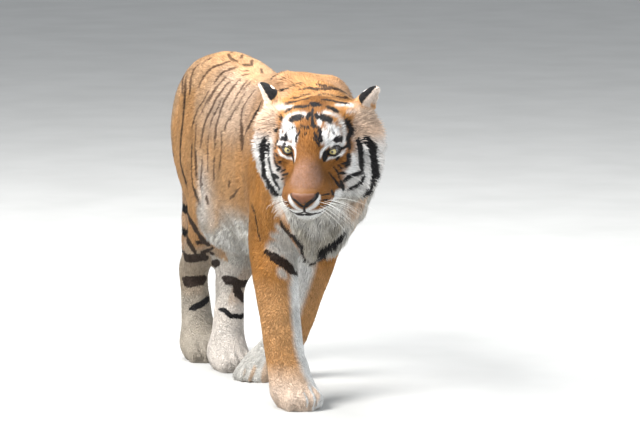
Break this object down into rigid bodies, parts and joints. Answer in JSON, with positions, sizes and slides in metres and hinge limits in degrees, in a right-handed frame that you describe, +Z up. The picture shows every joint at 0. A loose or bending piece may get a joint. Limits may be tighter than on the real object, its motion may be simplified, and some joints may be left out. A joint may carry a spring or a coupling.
{
  "type": "tiger",
  "caption": "Life-size still model of an adult tiger walking, its head turned to its right, with a thick coat, a full ruff and a hanging tail.",
  "frame": {"origin": "on the floor, under the middle of the bounding box", "axes": "+Z up; the animal faces -Y and its left side is on +X"},
  "size_m": [0.4766, 2.0762, 0.9768],
  "materials": {
    "fur": "thick fur, tan to orange with black stripes",
    "fur_pale": "thick off-white fur",
    "nose_leather": "moist bare skin",
    "eye": "wet gloss"
  },
  "bodies": {
    "root": {"chest": "fur", "ear_left": "fur", "ear_right": "fur", "eye_left": "eye", "eye_right": "eye", "foreleg_lower_left": "fur", "foreleg_lower_right": "fur", "foreleg_upper_left": "fur", "foreleg_upper_right": "fur", "forepaw_left": "fur", "forepaw_right": "fur", "head": "fur", "hindleg_lower_left": "fur", "hindleg_lower_right": "fur", "hindleg_upper_left": "fur", "hindleg_upper_right": "fur", "hindpaw_left": "fur_pale", "hindpaw_right": "fur_pale", "loin": "fur", "lower_jaw": "fur_pale", "neck": "fur", "nose": "nose_leather", "rump": "fur", "tail_base": "fur", "tail_middle": "fur", "tail_tip": "fur"}
  },
  "joints": []
}
